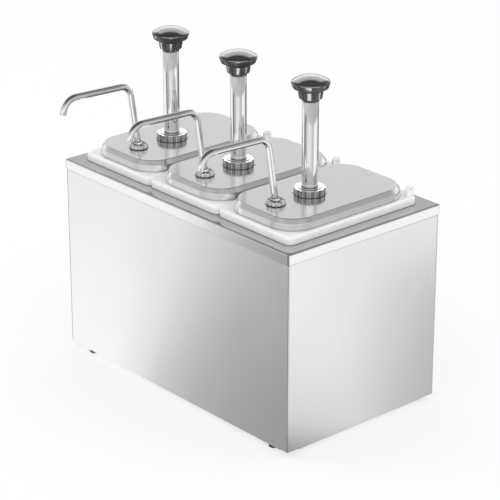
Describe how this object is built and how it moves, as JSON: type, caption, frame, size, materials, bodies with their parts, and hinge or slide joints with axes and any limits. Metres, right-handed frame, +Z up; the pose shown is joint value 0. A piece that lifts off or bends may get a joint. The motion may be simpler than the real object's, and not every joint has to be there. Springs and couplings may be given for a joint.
{
  "type": "condiment pump station",
  "caption": "Counter-top condiment station: sheet-steel cabinet, drop-in jars, and lids that each carry a push-knob pump with a bent spout.",
  "frame": {"origin": "on the counter, under the middle of the bounding box", "axes": "+Z up, +Y to the rear, the spouts point to -Y, +X to the right seen from the front"},
  "size_m": [0.41, 0.3, 0.4176],
  "materials": {
    "steel_sheet": "satin",
    "rail_steel": "polished",
    "lid_steel": "satin",
    "polished_steel": "polished",
    "spring_steel": "drawn",
    "ball_steel": "ground",
    "hardware": "plated",
    "jar_plastic": "milky",
    "acetal": "moulded",
    "knob_plastic": "glossy",
    "rubber": "matt"
  },
  "bodies": {
    "cabinet": {"top_rail": "rail_steel", "front_panel": "steel_sheet", "rear_panel": "steel_sheet", "left_end_panel": "steel_sheet", "right_end_panel": "steel_sheet", "bottom_pan": "steel_sheet", "feet": "rubber", "foot_screws": "hardware", "foot_nuts": "hardware"},
    "jar_left": {"jar_left": "jar_plastic", "jar_ear_left": "jar_plastic"},
    "pump_left": {"lid_left": "lid_steel", "lock_collar_left": "polished_steel", "pump_seals_left": "rubber", "pump_cylinder_left": "polished_steel", "valve_body_left": "acetal", "discharge_tube_left": "polished_steel", "tube_bush_left": "acetal", "tube_nut_left": "polished_steel"},
    "plunger_left": {"knob_left": "knob_plastic", "plunger_tube_left": "polished_steel", "piston_left": "acetal", "piston_seal_left": "rubber", "return_spring_left": "spring_steel"},
    "inlet_ball_left": {"inlet_ball_left": "ball_steel"},
    "outlet_ball_left": {"outlet_ball_left": "ball_steel"},
    "jar_middle": {"jar_middle": "jar_plastic", "jar_ear_middle": "jar_plastic"},
    "pump_middle": {"lid_middle": "lid_steel", "lock_collar_middle": "polished_steel", "pump_seals_middle": "rubber", "pump_cylinder_middle": "polished_steel", "valve_body_middle": "acetal", "discharge_tube_middle": "polished_steel", "tube_bush_middle": "acetal", "tube_nut_middle": "polished_steel"},
    "plunger_middle": {"knob_middle": "knob_plastic", "plunger_tube_middle": "polished_steel", "piston_middle": "acetal", "piston_seal_middle": "rubber", "return_spring_middle": "spring_steel"},
    "inlet_ball_middle": {"inlet_ball_middle": "ball_steel"},
    "outlet_ball_middle": {"outlet_ball_middle": "ball_steel"},
    "jar_right": {"jar_right": "jar_plastic", "jar_ear_right": "jar_plastic"},
    "pump_right": {"lid_right": "lid_steel", "lock_collar_right": "polished_steel", "pump_seals_right": "rubber", "pump_cylinder_right": "polished_steel", "valve_body_right": "acetal", "discharge_tube_right": "polished_steel", "tube_bush_right": "acetal", "tube_nut_right": "polished_steel"},
    "plunger_right": {"knob_right": "knob_plastic", "plunger_tube_right": "polished_steel", "piston_right": "acetal", "piston_seal_right": "rubber", "return_spring_right": "spring_steel"},
    "inlet_ball_right": {"inlet_ball_right": "ball_steel"},
    "outlet_ball_right": {"outlet_ball_right": "ball_steel"}
  },
  "joints": [
    {"name": "jar_lift_left", "type": "slide", "parent": "cabinet", "child": "jar_left", "axis": [0, 0, 1], "range_m": [0, 0.205]},
    {"name": "pump_lift_left", "type": "slide", "parent": "jar_left", "child": "pump_left", "axis": [0, 0, 1], "range_m": [0, 0.21]},
    {"name": "plunger_press_left", "type": "slide", "parent": "pump_left", "child": "plunger_left", "axis": [0, 0, -1], "range_m": [0, 0.103], "stiffness_N_per_m": 200, "springref_m": -0.05, "deforming": ["return_spring_left"]},
    {"name": "inlet_ball_lift_left", "type": "slide", "parent": "pump_left", "child": "inlet_ball_left", "axis": [0, 0, 1], "range_m": [0, 0.003]},
    {"name": "outlet_ball_lift_left", "type": "slide", "parent": "pump_left", "child": "outlet_ball_left", "axis": [0, -0.153, 0.9882], "range_m": [0, 0.003]},
    {"name": "jar_lift_middle", "type": "slide", "parent": "cabinet", "child": "jar_middle", "axis": [0, 0, 1], "range_m": [0, 0.205]},
    {"name": "pump_lift_middle", "type": "slide", "parent": "jar_middle", "child": "pump_middle", "axis": [0, 0, 1], "range_m": [0, 0.21]},
    {"name": "plunger_press_middle", "type": "slide", "parent": "pump_middle", "child": "plunger_middle", "axis": [0, 0, -1], "range_m": [0, 0.103], "stiffness_N_per_m": 200, "springref_m": -0.05, "deforming": ["return_spring_middle"]},
    {"name": "inlet_ball_lift_middle", "type": "slide", "parent": "pump_middle", "child": "inlet_ball_middle", "axis": [0, 0, 1], "range_m": [0, 0.003]},
    {"name": "outlet_ball_lift_middle", "type": "slide", "parent": "pump_middle", "child": "outlet_ball_middle", "axis": [0, -0.153, 0.9882], "range_m": [0, 0.003]},
    {"name": "jar_lift_right", "type": "slide", "parent": "cabinet", "child": "jar_right", "axis": [0, 0, 1], "range_m": [0, 0.205]},
    {"name": "pump_lift_right", "type": "slide", "parent": "jar_right", "child": "pump_right", "axis": [0, 0, 1], "range_m": [0, 0.21]},
    {"name": "plunger_press_right", "type": "slide", "parent": "pump_right", "child": "plunger_right", "axis": [0, 0, -1], "range_m": [0, 0.103], "stiffness_N_per_m": 200, "springref_m": -0.05, "deforming": ["return_spring_right"]},
    {"name": "inlet_ball_lift_right", "type": "slide", "parent": "pump_right", "child": "inlet_ball_right", "axis": [0, 0, 1], "range_m": [0, 0.003]},
    {"name": "outlet_ball_lift_right", "type": "slide", "parent": "pump_right", "child": "outlet_ball_right", "axis": [0, -0.153, 0.9882], "range_m": [0, 0.003]}
  ]
}
